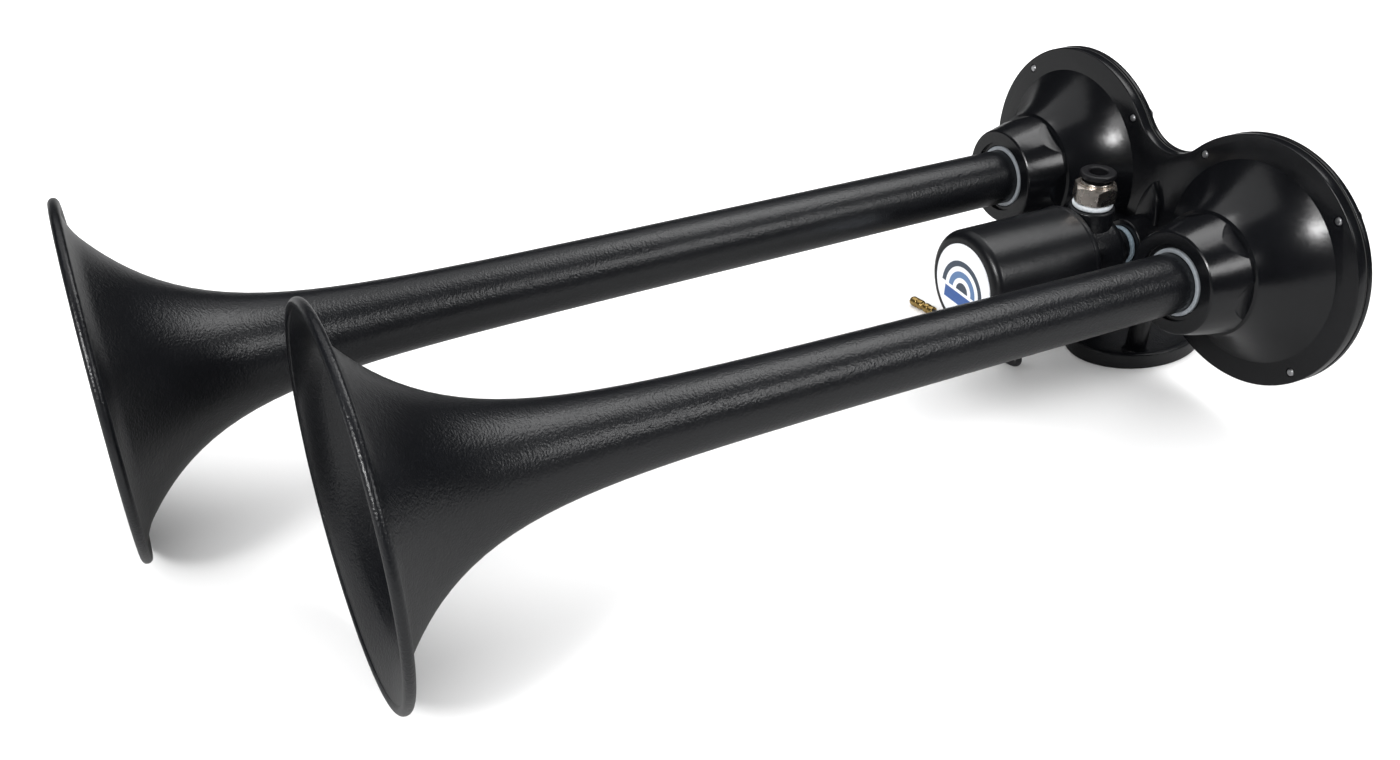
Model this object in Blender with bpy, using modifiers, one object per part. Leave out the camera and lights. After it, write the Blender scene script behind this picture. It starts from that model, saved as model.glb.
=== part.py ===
"""Dual-trumpet air horn with a solenoid valve, as separate solids in metres.

The flange face of the housing is the plane y = 0, the bells point along -Y, and the horn
stands on z = 0 on its two bell rims and its mounting foot.
"""
import math

import bmesh
import bpy
from mathutils import Matrix, Vector

# ---------------------------------------------------------------- driving dimensions (metres)
LOBE_X = 0.060            # half the distance between the two trumpets
AXIS_Z = 0.0755           # height of the trumpets' axes above the ground
VALVE_Z = 0.0589          # height of the solenoid valve's axis
INLET_Y = -0.037          # where the hose fitting stands on the valve
TOWER_TOP = 0.0093        # top of the valve's inlet tower, above the trumpets' axes
HEX_TURN = math.radians(27.5)  # how far the fitting's hexagon is screwed round
GAP = 0.0003              # clearance between touching pieces
WELD = 0.00001            # merge distance

LOBE_R = 0.0566           # outer radius of one flange lobe
FILLET_R = 0.0234         # concave blend between the lobes
FLANGE_T = 0.0044         # thickness of the housing's flange
GASKET_T = 0.0005
COVER_T = 0.0023
SCREW_CIRCLE = 0.0520
SCREW_ANGLES = (45, 135, 225, 315)

FUNNEL_BASE_R = 0.0460
FUNNEL_TOP = (0.0283, 0.0230)
LEAF_FRONT = -0.0027      # front face of the pointed rib over the inlet boss
COLLAR_FLAT = 0.0258      # from the trumpet's axis to each wrench flat
COLLAR_FRONT = 0.0430
SOCKET_R = 0.0138
SOCKET_DEPTH = 0.0200     # the trumpet's tube ends at this distance in front of the flange
THROAT_R = 0.0095
SEAT_Y = 0.0016           # diaphragm seat and ledge, behind the flange face
DIAPHRAGM_R = 0.0432
CHAMBER_R = 0.0385

BELL_R = 0.0755
BEAD_R = 0.0022
TUBE_END_R = 0.0131
TRUMPET_WALL = 0.0016
BELL_REACH = {"near": 0.4093, "far": 0.4802}
SIDES = {"near": 1, "far": -1}

COIL_R = 0.0255
COIL_BACK = 0.0475
COIL_FRONT = 0.1044
CAN_WALL = 0.0022

FOOT_A = 0.0265
FOOT_B = 0.0365
FOOT_Y = 0.0070
FOOT_H = 0.0080
POST = (0.0125, -0.0025)  # offset of each foot post from the middle, and its place along Y
POST_TOP = 0.0372

LEAD_D = 0.0030
LEAD_1 = ((0.0, -0.0690, 0.0286), (0.0, -0.0690, 0.0250), (0.0006, -0.0688, 0.0205),
          (0.0020, -0.0680, 0.0150), (0.0024, -0.0662, 0.0090), (-0.0006, -0.0645, 0.0045),
          (-0.0065, -0.0638, 0.0020), (-0.0140, -0.0640, 0.0017), (-0.0230, -0.0652, 0.0017),
          (-0.0320, -0.0664, 0.0017), (-0.0400, -0.0670, 0.0018), (-0.0480, -0.0676, 0.0022),
          (-0.0555, -0.0688, 0.0025), (-0.0620, -0.0701, 0.0026))
LEAD_2 = ((0.0, -0.0740, 0.0286), (0.0, -0.0740, 0.0250), (-0.0008, -0.0738, 0.0200),
          (-0.0040, -0.0726, 0.0140), (-0.0090, -0.0695, 0.0080), (-0.0135, -0.0640, 0.0059),
          (-0.0160, -0.0580, 0.0036), (-0.0205, -0.0525, 0.0018), (-0.0270, -0.0490, 0.0017),
          (-0.0350, -0.0478, 0.0020), (-0.0430, -0.0486, 0.0025), (-0.0490, -0.0500, 0.0026))
TERMINAL_L = 0.0160
TERMINAL_R = 0.0025

# ---------------------------------------------------------------- finishes
FINISHES = {
    "gloss_black": ((0.020, 0.021, 0.024), 0.28, 0.0),
    "satin_black": ((0.028, 0.030, 0.033), 0.45, 0.0),
    "black_plastic": ((0.018, 0.018, 0.020), 0.40, 0.0),
    "rubber": ((0.030, 0.030, 0.030), 0.75, 0.0),
    "grey_seal": ((0.62, 0.64, 0.66), 0.55, 0.0),
    "thread_tape": ((0.86, 0.87, 0.88), 0.60, 0.0),
    "nickel": ((0.72, 0.68, 0.62), 0.25, 1.0),
    "steel": ((0.62, 0.63, 0.64), 0.30, 1.0),
    "spring_steel": ((0.50, 0.51, 0.53), 0.35, 1.0),
    "copper": ((0.72, 0.36, 0.20), 0.35, 1.0),
    "brass": ((0.80, 0.58, 0.22), 0.30, 1.0),
    "label_white": ((0.88, 0.89, 0.91), 0.40, 0.0),
    "lead_black": ((0.025, 0.025, 0.027), 0.55, 0.0),
}


# ---------------------------------------------------------------- helpers
def clear_scene():
    for obj in list(bpy.data.objects):
        bpy.data.objects.remove(obj, do_unlink=True)


def new_collection(name):
    made = bpy.data.collections.new(name)
    bpy.context.scene.collection.children.link(made)
    return made


def finish_material(name):
    material = bpy.data.materials.get(name)
    if material is None:
        colour, roughness, metallic = FINISHES[name]
        material = bpy.data.materials.new(name)
        material.use_nodes = True
        shader = material.node_tree.nodes["Principled BSDF"]
        shader.inputs["Base Color"].default_value = (*colour, 1.0)
        shader.inputs["Roughness"].default_value = roughness
        shader.inputs["Metallic"].default_value = metallic
    return material


def add_object(name, data, finish, place=(0.0, 0.0, 0.0), turn=(0.0, 0.0, 0.0)):
    """A part when it has a finish; a hidden cutter or filler when it has none."""
    obj = bpy.data.objects.new(name, data)
    obj.location = place
    obj.rotation_euler = turn
    if finish:
        data.materials.append(finish_material(finish))
        PARTS.objects.link(obj)
    else:
        CUTTERS.objects.link(obj)
        obj.hide_render = True
        obj.display_type = "WIRE"
    return obj


TOWARDS_BELLS = (math.pi / 2, 0.0, 0.0)
UPWARDS = (0.0, 0.0, 0.0)


def turned(name, profile, place, finish=None, turn=TOWARDS_BELLS, steps=32):
    """Revolve (radius, height) points, listed down the outer side, about the local Z axis.

    A profile that starts and ends on the axis is open; any other one is closed into a ring.
    """
    mesh = bpy.data.meshes.new(name)
    points = [(radius, 0.0, height) for radius, height in profile]
    edges = [(i, i + 1) for i in range(len(points) - 1)]
    if profile[0][0] > WELD:
        edges.append((len(points) - 1, 0))
    mesh.from_pydata(points, edges, [])
    obj = add_object(name, mesh, finish, place, turn)
    screw = obj.modifiers.new("Turn", "SCREW")
    screw.steps = steps
    screw.render_steps = steps
    screw.use_merge_vertices = True
    screw.merge_threshold = WELD
    screw.use_smooth_shade = True
    return obj


def ring_profile(inner, outer, top, bottom):
    return [(inner, top), (outer, top), (outer, bottom), (inner, bottom)]


def plug_profile(radius, top, bottom):
    return [(0.0, top), (radius, top), (radius, bottom), (0.0, bottom)]


def cylinder(name, radius, start, end, finish=None, steps=24):
    """A straight cylinder between two points."""
    start = Vector(start)
    run = Vector(end) - start
    turn = run.to_track_quat("Z", "Y").to_euler()
    return turned(name, plug_profile(radius, run.length, 0.0), start, finish, turn, steps)


def arc(centre, radius, start, end, count):
    angles = [math.radians(start + (end - start) * i / count) for i in range(count + 1)]
    return [(centre[0] + radius * math.cos(a), centre[1] + radius * math.sin(a)) for a in angles]


def thick_outline(name, outlines, thickness, finish, place, turn):
    """A flat piece of even thickness about its place; inner outlines are its holes."""
    curve = bpy.data.curves.new(name, "CURVE")
    curve.dimensions = "2D"
    curve.fill_mode = "BOTH"
    curve.extrude = thickness / 2
    for outline in outlines:
        spline = curve.splines.new("POLY")
        spline.points.add(len(outline) - 1)
        for point, (across, up) in zip(spline.points, outline):
            point.co = (across, up, 0.0, 1.0)
        spline.use_cyclic_u = True
    return as_mesh(add_object(name, curve, finish, place, turn), finish)


def plate(name, outlines, front, back, finish=None):
    """An upright plate between y = front and y = back, round the trumpets' height."""
    return thick_outline(name, outlines, back - front, finish,
                         (0.0, (front + back) / 2, AXIS_Z), TOWARDS_BELLS)


def as_mesh(curve_obj, finish):
    """Swap a curve for its welded mesh."""
    name = curve_obj.name
    bpy.context.view_layer.update()
    evaluated = curve_obj.evaluated_get(bpy.context.evaluated_depsgraph_get())
    mesh = bpy.data.meshes.new_from_object(evaluated)
    work = bmesh.new()
    work.from_mesh(mesh)
    bmesh.ops.remove_doubles(work, verts=work.verts, dist=WELD)
    bmesh.ops.recalc_face_normals(work, faces=work.faces)
    work.to_mesh(mesh)
    work.free()
    mesh.materials.clear()
    matrix = curve_obj.matrix_world.copy()
    bpy.data.objects.remove(curve_obj, do_unlink=True)
    obj = add_object(name, mesh, finish)
    obj.matrix_world = matrix
    return obj


def combine(obj, operation, others):
    """One Boolean step with every filler or cutter at once."""
    group = bpy.data.collections.new(f"{obj.name}_{operation.lower()}")
    CUTTERS.children.link(group)
    for other in others:
        CUTTERS.objects.unlink(other)
        group.objects.link(other)
    step = obj.modifiers.new(operation.title(), "BOOLEAN")
    step.operation = operation
    step.operand_type = "COLLECTION"
    step.collection = group
    return obj


def bezier(start, pull, end, count):
    points = []
    for i in range(count + 1):
        t = i / count
        weights = ((1 - t) ** 2, 2 * t * (1 - t), t * t)
        points.append(tuple(sum(w * p[k] for w, p in zip(weights, (start, pull, end)))
                            for k in (0, 1)))
    return points


def smooth_route(points, count):
    """Evenly spaced points on a smooth curve through the route's own points."""
    ends = [2 * Vector(points[0]) - Vector(points[1])]
    ends += [Vector(p) for p in points]
    ends.append(2 * Vector(points[-1]) - Vector(points[-2]))
    fine = []
    for i in range(1, len(ends) - 2):
        before, start, end, after = ends[i - 1:i + 3]
        for k in range(12):
            t = k / 12
            fine.append(0.5 * (2 * start + (end - before) * t
                               + (2 * before - 5 * start + 4 * end - after) * t ** 2
                               + (3 * start - before - 3 * end + after) * t ** 3))
    fine.append(Vector(points[-1]))
    lengths = [0.0]
    for a, b in zip(fine, fine[1:]):
        lengths.append(lengths[-1] + (b - a).length)
    result = []
    k = 0
    for i in range(count):
        target = lengths[-1] * i / (count - 1)
        while k < len(fine) - 2 and lengths[k + 1] < target:
            k += 1
        share = (target - lengths[k]) / (lengths[k + 1] - lengths[k])
        result.append(fine[k].lerp(fine[k + 1], share))
    return result


def wire(name, points, diameter, finish):
    curve = bpy.data.curves.new(name, "CURVE")
    curve.dimensions = "3D"
    curve.bevel_depth = diameter / 2
    curve.bevel_resolution = 2
    curve.use_fill_caps = True
    spline = curve.splines.new("POLY")
    spline.points.add(len(points) - 1)
    for point, place in zip(spline.points, points):
        point.co = (*place, 1.0)
    return add_object(name, curve, finish)


# ---------------------------------------------------------------- outlines shared by the flange
def flange_outline(shrink=0.0):
    """Two round lobes joined by concave blends."""
    lobe = LOBE_R - shrink
    fillet = FILLET_R + shrink
    rise = math.sqrt((lobe + fillet) ** 2 - LOBE_X ** 2)
    lean = math.degrees(math.atan2(rise, LOBE_X))
    outline = arc((LOBE_X, 0.0), lobe, lean - 180, 180 - lean, 22)
    outline += arc((0.0, rise), fillet, -lean, lean - 180, 6)[1:-1]
    outline += arc((-LOBE_X, 0.0), lobe, lean, 360 - lean, 22)
    outline += arc((0.0, -rise), fillet, 180 - lean, lean, 6)[1:-1]
    return outline


def screw_places():
    return [(side * LOBE_X + SCREW_CIRCLE * math.cos(math.radians(angle)),
             SCREW_CIRCLE * math.sin(math.radians(angle)))
            for side in (1, -1) for angle in SCREW_ANGLES]


def screw_hole_outlines(radius):
    return [arc(place, radius, 0, 315, 7) for place in screw_places()]


# ---------------------------------------------------------------- housing
def funnel_profile():
    """Outside of one lobe: taper collar, groove and flared funnel, as a solid of revolution."""
    foot = (FUNNEL_BASE_R + 0.0010, -0.0008)
    flare = bezier(FUNNEL_TOP, (0.0330, 0.0090), foot, 4)
    return [(0.0, COLLAR_FRONT), (0.0226, COLLAR_FRONT), (0.0233, 0.0423), (0.0275, 0.0246),
            (0.0269, 0.0243), (0.0269, 0.0235), *flare, (foot[0], -0.0030), (0.0, -0.0030)]


def chamber_profile():
    """Air chamber round the throat, opening into the diaphragm's recess at the back."""
    wall = bezier((0.0232, 0.0160), (0.0290, 0.0060), (CHAMBER_R, 0.0006), 3)
    recess = DIAPHRAGM_R + 2 * GAP
    return [(0.0, -SEAT_Y), (0.0125, -SEAT_Y), (0.0125, 0.0160), *wall, (CHAMBER_R, -SEAT_Y),
            (recess, -SEAT_Y), (recess, -0.0060), (0.0, -0.0060)]


def throat_profile():
    """Stepped bore: throat, trumpet socket, seal pocket and front recess."""
    return [(0.0, 0.0450), (0.0172, 0.0450), (0.0172, 0.0415), (0.0154, 0.0415),
            (0.0154, 0.0400), (SOCKET_R, 0.0400), (SOCKET_R, SOCKET_DEPTH),
            (THROAT_R, SOCKET_DEPTH), (THROAT_R, -0.0030), (0.0, -0.0030)]


def wrench_flats(name, x):
    """Six blocks that cut the collar's flats."""
    work = bmesh.new()
    for k in range(6):
        turn = Matrix.Rotation(math.radians(60 * k), 4, "Y")
        shift = Matrix.Translation((COLLAR_FLAT + 0.003, -0.0340, 0.0))
        size = Matrix.Diagonal((0.006, 0.0203, 0.018, 1.0))
        bmesh.ops.create_cube(work, size=1.0, matrix=turn @ shift @ size)
    mesh = bpy.data.meshes.new(name)
    work.to_mesh(mesh)
    work.free()
    return add_object(name, mesh, None, (x, 0.0, AXIS_Z))


def leaf_outline():
    """Pointed rib that runs from the inlet boss up to the flange's web."""
    right = bezier((0.0070, -0.0160), (0.0086, 0.0040), (0.0, 0.0140), 5)
    left = [(-across, up) for across, up in reversed(right)]
    return right + left[1:]


def build_housing():
    housing = plate("front_housing", [flange_outline()], 0.0, FLANGE_T, "gloss_black")
    edge = housing.modifiers.new("Edge", "BEVEL")
    edge.width = 0.0007
    edge.segments = 1
    edge.limit_method = "ANGLE"
    edge.angle_limit = math.radians(60)
    fillers = []
    cutters = []
    for key, side in SIDES.items():
        x = side * LOBE_X
        place = (x, 0.0, AXIS_Z)
        fillers.append(turned(f"{key}_funnel", funnel_profile(), place, steps=32))
        cutters.append(turned(f"{key}_chamber", chamber_profile(), place, steps=20))
        cutters.append(turned(f"{key}_throat", throat_profile(), place, steps=20))
        cutters.append(wrench_flats(f"{key}_flats", x))
        post_x = side * POST[0]
        fillers.append(cylinder(f"{key}_boss", 0.0050, (post_x, POST[1], POST_TOP + GAP),
                                (post_x, POST[1], VALVE_Z), steps=12))
        cutters.append(cylinder(f"{key}_boss_bore", 0.0023, (post_x, POST[1], 0.0300),
                                (post_x, POST[1], 0.0500), steps=8))
    duct = 0.0300
    duct_y = -0.0036
    fillers.append(cylinder("duct", 0.0071, (-duct, duct_y, VALVE_Z), (duct, duct_y, VALVE_Z),
                            steps=16))
    fillers.append(cylinder("inlet_boss", 0.0125, (0.0, 0.0020, VALVE_Z), (0.0, -0.0135, VALVE_Z)))
    fillers.append(plate("leaf_rib", [leaf_outline()], LEAF_FRONT, 0.0010))
    combine(housing, "UNION", fillers)
    cross = 0.0340
    cutters.append(cylinder("cross_bore", 0.0042, (-cross, duct_y, VALVE_Z),
                            (cross, duct_y, VALVE_Z), steps=12))
    cutters.append(cylinder("nipple_socket", 0.0087, (0.0, -0.0150, VALVE_Z),
                            (0.0, -0.0090, VALVE_Z), steps=16))
    cutters.append(cylinder("inlet_bore", 0.0037, (0.0, -0.0100, VALVE_Z),
                            (0.0, duct_y, VALVE_Z), steps=12))
    for i, (across, up) in enumerate(screw_places()):
        cutters.append(cylinder(f"screw_hole_{i}", 0.00205, (across, -0.002, AXIS_Z + up),
                                (across, 0.008, AXIS_Z + up), steps=8))
    combine(housing, "DIFFERENCE", cutters)


def build_gasket_and_cover():
    front = FLANGE_T + GAP
    clear = [arc((side * LOBE_X, 0.0), DIAPHRAGM_R + 0.0012, 0, 345, 23) for side in (1, -1)]
    plate("cover_gasket", [flange_outline(0.0004), *clear, *screw_hole_outlines(0.0021)],
          front, front + GASKET_T, "rubber")

    front += GASKET_T + GAP
    back = front + COVER_T
    cover = plate("back_cover", [flange_outline(), *screw_hole_outlines(0.00205)],
                  front, back, "gloss_black")
    domes = []
    hollows = []
    for key, side in SIDES.items():
        place = (side * LOBE_X, 0.0, AXIS_Z)
        dome = [(0.0, -back + 0.001), (0.0435, -back + 0.001), (0.0400, -back - 0.0040),
                (0.0100, -back - 0.0058), (0.0, -back - 0.0058)]
        hollow = [(0.0, -front + 0.001), (0.0380, -front + 0.001), (0.0362, -back - 0.0018),
                  (0.0, -back - 0.0036)]
        domes.append(turned(f"{key}_dome", dome, place, steps=24))
        hollows.append(turned(f"{key}_hollow", hollow, place, steps=24))
        hollows.append(turned(f"{key}_vent", plug_profile(0.0025, 0.0, -0.02), place, steps=8))
    combine(cover, "UNION", domes)
    combine(cover, "DIFFERENCE", hollows)
    return back


def build_cover_screws(cover_back):
    """Pan-head screws from the back, whose tips show in the flange's front face."""
    head = cover_back + GAP
    profile = [(0.0, GAP), (0.00175, GAP), (0.00175, -head), (0.0036, -head),
               (0.0036, -head - 0.0013), (0.0026, -head - 0.0022), (0.0, -head - 0.0022)]
    for i, (across, up) in enumerate(screw_places()):
        turned(f"cover_screw_{i + 1}", profile, (across, 0.0, AXIS_Z + up), "steel", steps=8)


def build_diaphragms():
    top = -SEAT_Y - GAP
    clamp = top - 0.0006 - GAP
    for key, side in SIDES.items():
        place = (side * LOBE_X, 0.0, AXIS_Z)
        turned(f"{key}_diaphragm", plug_profile(DIAPHRAGM_R, top, top - 0.0006), place,
               "spring_steel", steps=32)
        turned(f"{key}_clamp_ring", ring_profile(0.0388, DIAPHRAGM_R, clamp, clamp - 0.0023),
               place, "rubber", steps=32)


# ---------------------------------------------------------------- trumpets
def flare_radius(behind, reach):
    """Outer radius of a trumpet at a distance behind its bell plane."""
    share = behind / (reach - SOCKET_DEPTH)
    return TUBE_END_R + 0.0028 * (1 - share) + 0.0510 * math.exp(-behind / 0.0339)


def build_trumpets():
    stations = (0.0028, 0.008, 0.016, 0.028, 0.043, 0.065, 0.100, 0.170)
    for key, side in SIDES.items():
        reach = BELL_REACH[key]
        lip = BELL_R - BEAD_R
        bead = [(lip + BEAD_R * math.cos(math.radians(a)), reach + BEAD_R * math.sin(math.radians(a)))
                for a in (90, 45, 0, -45, -90)]
        outer = [(0.0700, reach - 0.0010)]
        outer += [(flare_radius(d, reach), reach - d) for d in stations]
        outer += [(TUBE_END_R, 0.0440), (TUBE_END_R, SOCKET_DEPTH + GAP)]
        bore = TUBE_END_R - TRUMPET_WALL
        inner = [(bore, SOCKET_DEPTH + GAP)]
        inner += [(flare_radius(d + 0.0012, reach) - TRUMPET_WALL, reach - d)
                  for d in reversed(stations)]
        inner += [(0.0695, reach + 0.0008)]
        turned(f"{key}_trumpet", bead + outer + inner, (side * LOBE_X, 0.0, AXIS_Z),
               "satin_black", steps=32)
        turned(f"{key}_seal_ring", ring_profile(TUBE_END_R + GAP, 0.0151, 0.0422, 0.0403),
               (side * LOBE_X, 0.0, AXIS_Z), "grey_seal", steps=24)


# ---------------------------------------------------------------- solenoid valve
def on_valve(name, profile, finish, steps=24):
    return turned(name, profile, (0.0, 0.0, VALVE_Z), finish, steps=steps)


def build_valve_body():
    body = on_valve("valve_body", [
        (0.0, 0.0472), (0.0195, 0.0472), (0.0195, 0.0300), (0.0180, 0.0268), (0.0, 0.0268)],
        "satin_black")
    tower = cylinder("inlet_tower", 0.0105, (0.0, INLET_Y, VALVE_Z),
                     (0.0, INLET_Y, AXIS_Z + TOWER_TOP), steps=20)
    chamber = on_valve("valve_chamber", [
        (0.0, 0.0490), (0.0155, 0.0490), (0.0155, 0.0420), (0.0130, 0.0420),
        (0.0130, 0.0330), (0.0078, 0.0330), (0.0078, 0.0370), (0.0, 0.0370)], None, 20)
    outlet = on_valve("outlet_bore", [
        (0.0, 0.0380), (0.0054, 0.0380), (0.0054, 0.0315), (0.0087, 0.0315),
        (0.0087, 0.0250), (0.0, 0.0250)], None, 16)
    inlet = cylinder("inlet_port", 0.0081, (0.0, INLET_Y, AXIS_Z - 0.0012),
                     (0.0, INLET_Y, AXIS_Z + TOWER_TOP + 0.0020), steps=16)
    passage = cylinder("inlet_passage", 0.0036, (0.0, INLET_Y, VALVE_Z + 0.0100),
                       (0.0, INLET_Y, AXIS_Z), steps=12)
    combine(body, "UNION", [tower])
    combine(body, "DIFFERENCE", [chamber, outlet, inlet, passage])
    on_valve("valve_nipple", ring_profile(0.0056, 0.0084, 0.0312, 0.0093), "satin_black", 16)
    on_valve("nipple_sealant", [
        (0.0087, 0.0163), (0.0091, 0.0163), (0.0097, 0.0150), (0.0093, 0.0138),
        (0.0087, 0.0138)], "thread_tape", 16)


def build_plunger():
    on_valve("plunger_seal", plug_profile(0.0075, 0.0408, 0.0373), "rubber", 16)
    shaft = 0.0079
    on_valve("plunger", [
        (0.0, 0.0600), (0.0042, 0.0600), (0.0042, 0.0758), (shaft, 0.0758),
        (shaft, 0.0411), (0.0, 0.0411)], "steel", 20)
    turns = 6
    per_turn = 8
    start = 0.0608
    pitch = (0.0832 - start) / turns
    points = []
    for i in range(turns * per_turn + 1):
        angle = 2 * math.pi * i / per_turn
        reach = start + pitch * i / per_turn
        points.append((0.0032 * math.cos(angle), -reach, VALVE_Z + 0.0032 * math.sin(angle)))
    wire("plunger_spring", points, 0.0009, "spring_steel")


def build_coil():
    on_valve("core_tube", [
        (0.0082, 0.0970), (0.0090, 0.0970), (0.0090, 0.0472), (0.0152, 0.0472),
        (0.0152, 0.0444), (0.0082, 0.0444)], "steel", 20)
    on_valve("valve_o_ring", ring_profile(0.0134, 0.0152, 0.0441, 0.0423), "rubber", 20)
    on_valve("fixed_core", [
        (0.0, 0.1015), (0.0112, 0.1015), (0.0112, 0.0973), (0.0079, 0.0973),
        (0.0079, 0.0780), (0.0042, 0.0780), (0.0042, 0.0838), (0.0, 0.0838)], "steel", 20)
    spool = 0.0215
    hub = 0.0108
    on_valve("coil_bobbin", [
        (0.0093, 0.0970), (spool, 0.0970), (spool, 0.0950), (hub, 0.0950), (hub, 0.0527),
        (spool, 0.0527), (spool, 0.0507), (0.0093, 0.0507)], "black_plastic", 20)
    on_valve("coil_winding", ring_profile(hub + GAP, 0.0206, 0.0947, 0.0530), "copper", 20)
    on_valve("coil_base_plate", ring_profile(0.0093, COIL_R - CAN_WALL - GAP, 0.0504, 0.0478),
             "steel", 24)


def build_can():
    corner = 0.0042
    outside = [(0.0, COIL_FRONT)]
    outside += arc((COIL_R - corner, COIL_FRONT - corner), corner, 90, 0, 3)
    outside += [(COIL_R, COIL_BACK + 0.0030), (COIL_R + 0.0004, COIL_BACK + 0.0022),
                (COIL_R + 0.0004, COIL_BACK + 0.0006), (COIL_R - 0.0002, COIL_BACK)]
    inner = COIL_R - CAN_WALL
    inside = [(inner, COIL_BACK), (inner, COIL_FRONT - corner),
              (COIL_R - corner, COIL_FRONT - CAN_WALL), (0.0, COIL_FRONT - CAN_WALL)]
    can = on_valve("coil_can", outside + inside, "satin_black", 28)
    exit_y = (LEAD_1[0][1] + LEAD_2[0][1]) / 2
    hole = cylinder("lead_hole", 0.0048, (0.0, exit_y, VALVE_Z - 0.030),
                    (0.0, exit_y, VALVE_Z - 0.018), steps=16)
    combine(can, "DIFFERENCE", [hole])
    outer = VALVE_Z - COIL_R - 0.0007
    inner_end = VALVE_Z - COIL_R + 0.0032
    grommet = turned("lead_grommet", [
        (0.0, inner_end), (0.0045, inner_end), (0.0045, outer), (0.0062, outer),
        (0.0058, outer - 0.0022), (0.0050, outer - 0.0038), (0.0, outer - 0.0038)],
        (0.0, exit_y, 0.0), "rubber", UPWARDS, 16)
    bores = [cylinder(f"lead_bore_{i + 1}", 0.0012, (0.0, lead[0][1], 0.0300),
                      (0.0, lead[0][1], 0.0400), steps=8)
             for i, lead in enumerate((LEAD_1, LEAD_2))]
    combine(grommet, "DIFFERENCE", bores)
    on_valve("coil_label", plug_profile(0.0196, COIL_FRONT + GAP + 0.0004, COIL_FRONT + GAP),
             "label_white", 24)


# ---------------------------------------------------------------- hose fitting
def on_inlet(name, profile, finish, steps=16, turn=UPWARDS):
    return turned(name, profile, (0.0, INLET_Y, AXIS_Z), finish, turn, steps)


def build_fitting():
    bore = [(0.0, 0.0230), (0.0068, 0.0230), (0.0068, 0.0090), (0.0034, 0.0090),
            (0.0034, -0.0040), (0.0, -0.0040)]
    body = on_inlet("fitting_body", [
        (0.0, 0.0225), (0.0071, 0.0225), (0.0074, 0.0222), (0.0074, 0.0211), (0.0083, 0.0209),
        (0.0083, 0.0150), (0.0086, 0.0125), (0.0077, 0.0122), (0.0077, -0.0009),
        (0.0, -0.0009)], "nickel")
    hexagon = on_inlet("hexagon", plug_profile(0.0101, 0.0206, 0.0128), None, 6,
                       (0.0, 0.0, HEX_TURN))
    combine(body, "UNION", [hexagon])
    combine(body, "DIFFERENCE", [on_inlet("fitting_bore", bore, None)])
    on_inlet("fitting_sealant", [
        (0.0080, 0.0119), (0.0086, 0.0119), (0.0092, 0.0107), (0.0088, 0.0096),
        (0.0080, 0.0096)], "thread_tape")
    on_inlet("fitting_o_ring", ring_profile(0.0043, 0.0065, 0.0112, 0.0093), "rubber")
    on_inlet("grab_ring", ring_profile(0.0043, 0.0065, 0.0124, 0.0119), "spring_steel")
    on_inlet("release_collar", [
        (0.0041, 0.0262), (0.0046, 0.0267), (0.0076, 0.0267), (0.0080, 0.0263),
        (0.0080, 0.0242), (0.0066, 0.0240), (0.0062, 0.0232), (0.0056, 0.0228),
        (0.0056, 0.0146), (0.0041, 0.0146)], "black_plastic")


# ---------------------------------------------------------------- foot
def oval(shrink, count=28):
    return [((FOOT_A - shrink) * math.cos(2 * math.pi * i / count),
             (FOOT_B - shrink) * math.sin(2 * math.pi * i / count)) for i in range(count)]


def oval_slab(name, shrink, low, high, finish=None):
    return thick_outline(name, [oval(shrink)], high - low, finish,
                         (0.0, FOOT_Y, (high + low) / 2), UPWARDS)


def build_foot():
    foot = oval_slab("mounting_foot", 0.0, 0.0, FOOT_H, "satin_black")
    combine(foot, "DIFFERENCE", [oval_slab("foot_dish", 0.0035, 0.0032, FOOT_H + 0.004)])
    for key, side in SIDES.items():
        x = side * POST[0]
        post = cylinder(f"{key}_post", 0.0050, (x, POST[1], 0.0020), (x, POST[1], POST_TOP),
                        steps=12)
        combine(foot, "UNION", [post])
        bore = cylinder(f"{key}_post_bore", 0.0023, (x, POST[1], -0.002),
                        (x, POST[1], POST_TOP + 0.002), steps=8)
        well = cylinder(f"{key}_post_well", 0.0042, (x, POST[1], -0.002),
                        (x, POST[1], 0.0026), steps=12)
        combine(foot, "DIFFERENCE", [bore, well])
        turned(f"{key}_foot_screw", [
            (0.0, 0.0485), (0.0020, 0.0485), (0.0020, 0.0023), (0.0038, 0.0023),
            (0.0038, 0.0008), (0.0030, 0.0004), (0.0, 0.0004)], (x, POST[1], 0.0), "steel",
            UPWARDS, 8)


# ---------------------------------------------------------------- leads
def build_leads():
    for i, route in enumerate((LEAD_1, LEAD_2)):
        points = smooth_route(route, 20)
        wire(f"lead_{i + 1}", points, LEAD_D, "lead_black")
        end = Vector(route[-1])
        way = end - Vector(route[-2])
        way.z = 0.0
        way.normalize()
        start = end + way * GAP
        start.z = TERMINAL_R + 0.0001
        turn = way.to_track_quat("Z", "Y").to_euler()
        turned(f"terminal_{i + 1}", [
            (0.0013, TERMINAL_L), (0.0022, TERMINAL_L), (TERMINAL_R, TERMINAL_L - 0.0010),
            (TERMINAL_R, 0.0085), (0.0020, 0.0078), (0.0020, 0.0066), (TERMINAL_R, 0.0059),
            (TERMINAL_R, 0.0), (0.0007, 0.0), (0.0007, 0.0100), (0.0013, 0.0104)],
            start, "brass", turn, 10)


clear_scene()
PARTS = new_collection("dual_trumpet_horn")
CUTTERS = new_collection("cutters")
build_housing()
build_cover_screws(build_gasket_and_cover())
build_diaphragms()
build_trumpets()
build_valve_body()
build_plunger()
build_coil()
build_can()
build_fitting()
build_foot()
build_leads()
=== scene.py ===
import math

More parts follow.
